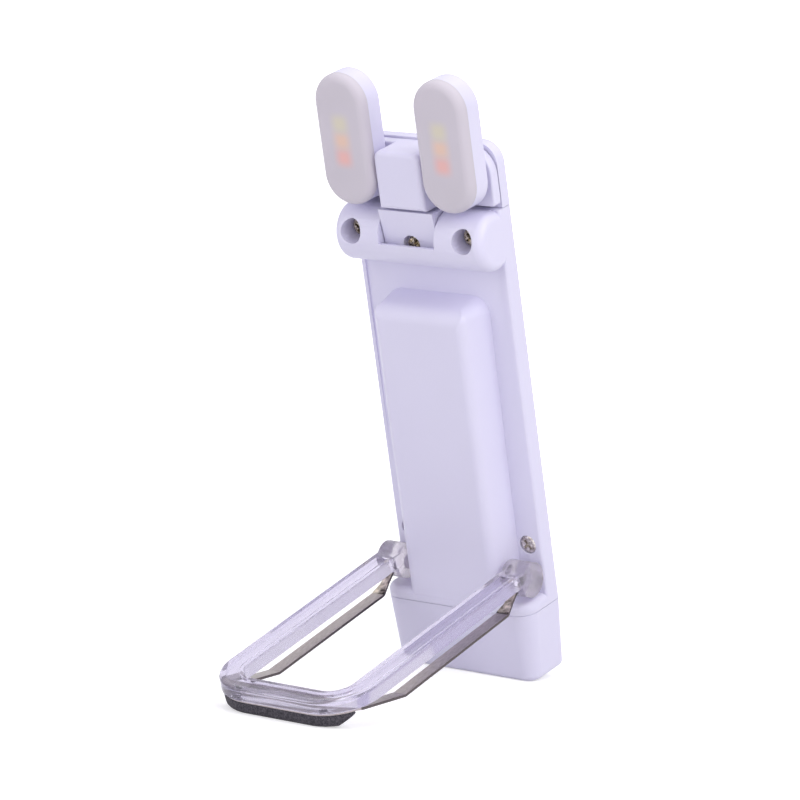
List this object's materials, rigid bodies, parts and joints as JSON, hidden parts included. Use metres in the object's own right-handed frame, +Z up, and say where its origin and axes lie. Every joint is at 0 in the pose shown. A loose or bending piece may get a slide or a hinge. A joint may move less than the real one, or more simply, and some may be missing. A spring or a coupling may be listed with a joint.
{
  "type": "clip-on book light",
  "caption": "Rechargeable clip-on reading light with a slim body, a tilting head, swinging capsule lamps and a folding clear clip that doubles as its stand.",
  "frame": {"origin": "on the table, under the middle of the light's bounding box as it stands on its open clip", "axes": "+Z up from the table, -Y the way the clip points, +X across the body to the right of someone facing -Y's side from the front"},
  "size_m": [0.0334, 0.0672, 0.1129],
  "materials": {
    "white_abs": "satin",
    "clear_polycarbonate": "polished",
    "frosted_diffuser": "frosted",
    "steel_strip": "brushed",
    "screw_steel": "plated",
    "pin_steel": "ground",
    "pad_foam": "cellular",
    "board": "solder mask",
    "led_board_white": "white coated",
    "chip_black": "matt",
    "socket_steel": "plated",
    "cell_foil": "satin",
    "tape_foam": "matt",
    "lead_insulation": "gloss",
    "light_pipe": "polished",
    "washer_nylon": "satin",
    "led_warm": "phosphor",
    "led_amber": "phosphor",
    "led_cool": "phosphor"
  },
  "bodies": {
    "case": {"front_shell": "white_abs", "back_shell": "white_abs", "end_cap": "white_abs", "bar_screws": "screw_steel", "shell_screws": "screw_steel", "circuit_board": "board", "board_chips": "chip_black", "usb_socket": "socket_steel", "battery_cell": "cell_foil", "battery_tape": "tape_foam", "battery_leads": "lead_insulation", "click_dome": "socket_steel", "charge_light": "light_pipe"},
    "head": {"head_carrier": "white_abs", "neck": "white_abs", "neck_screw": "screw_steel", "hinge_pin": "pin_steel", "friction_washers": "washer_nylon"},
    "left_lamp": {"left_lamp_housing": "white_abs", "left_lamp_screw": "screw_steel", "left_led_board": "led_board_white", "left_led_warm": "led_warm", "left_led_amber": "led_amber", "left_led_cool": "led_cool", "left_diffuser": "frosted_diffuser"},
    "right_lamp": {"right_lamp_housing": "white_abs", "right_lamp_screw": "screw_steel", "right_led_board": "led_board_white", "right_led_warm": "led_warm", "right_led_amber": "led_amber", "right_led_cool": "led_cool", "right_diffuser": "frosted_diffuser"},
    "clip": {"clip_frame": "clear_polycarbonate", "clip_spring": "steel_strip", "grip_pad": "pad_foam"},
    "button": {"power_button": "white_abs"}
  },
  "joints": [
    {"name": "head_tilt", "type": "hinge", "parent": "case", "child": "head", "pos_m": [0, 0.00809, 0.08293], "axis": [1, 0, 0], "range_deg": [0, 35]},
    {"name": "left_lamp_swing", "type": "hinge", "parent": "head", "child": "left_lamp", "pos_m": [-0.01095, 0.0056, 0.09478], "axis": [0, -0.9684, -0.2493], "range_deg": [0, 90]},
    {"name": "right_lamp_swing", "type": "hinge", "parent": "head", "child": "right_lamp", "pos_m": [0.01095, 0.0056, 0.09478], "axis": [0, 0.9684, 0.2493], "range_deg": [0, 90]},
    {"name": "clip_fold", "type": "hinge", "parent": "case", "child": "clip", "pos_m": [0, 0.02185, 0.01986], "axis": [-1, 0, 0], "range_deg": [0, 93]},
    {"name": "button_press", "type": "slide", "parent": "case", "child": "button", "axis": [0, -0.9684, -0.2493], "range_m": [0, 0.00025], "stiffness_N_per_m": 200}
  ]
}
